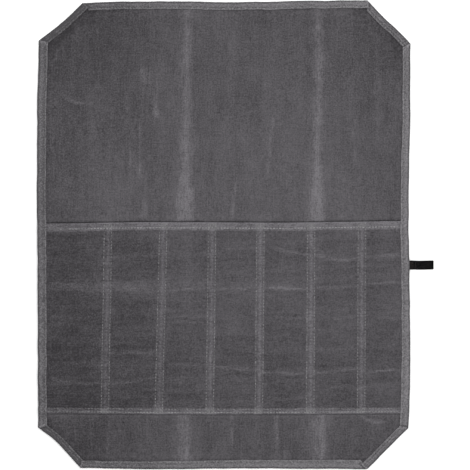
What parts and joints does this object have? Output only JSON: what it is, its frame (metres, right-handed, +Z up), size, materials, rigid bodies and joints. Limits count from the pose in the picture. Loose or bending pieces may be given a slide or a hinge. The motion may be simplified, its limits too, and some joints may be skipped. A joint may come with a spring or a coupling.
{
  "type": "chef knife roll",
  "caption": "Waxed-canvas knife roll lying open and flat, with a row of sewn pockets, bound edges, cut corners and a short webbing tab.",
  "frame": {"origin": "on the floor under the middle of the laid-out roll", "axes": "+Z up out of the pocket side, +Y out of the pockets' mouths towards the plain end, +X towards the tab"},
  "size_m": [0.4575, 0.539, 0.0099],
  "materials": {
    "canvas": "waxed canvas, dark grey, matt, pale along old folds",
    "pocket_canvas": "waxed canvas, dark grey, matt, with grey stitching",
    "binding_tape": "woven binding tape, mid grey, worn pale on its edges",
    "webbing": "tight ribbed black webbing"
  },
  "bodies": {
    "root": {"back_panel": "canvas", "pocket_panel": "pocket_canvas", "binding_top": "binding_tape", "binding_top_right": "binding_tape", "binding_right": "binding_tape", "binding_bottom_right": "binding_tape", "binding_bottom": "binding_tape", "binding_bottom_left": "binding_tape", "binding_left": "binding_tape", "binding_top_left": "binding_tape", "edge_tab": "webbing"}
  },
  "joints": []
}
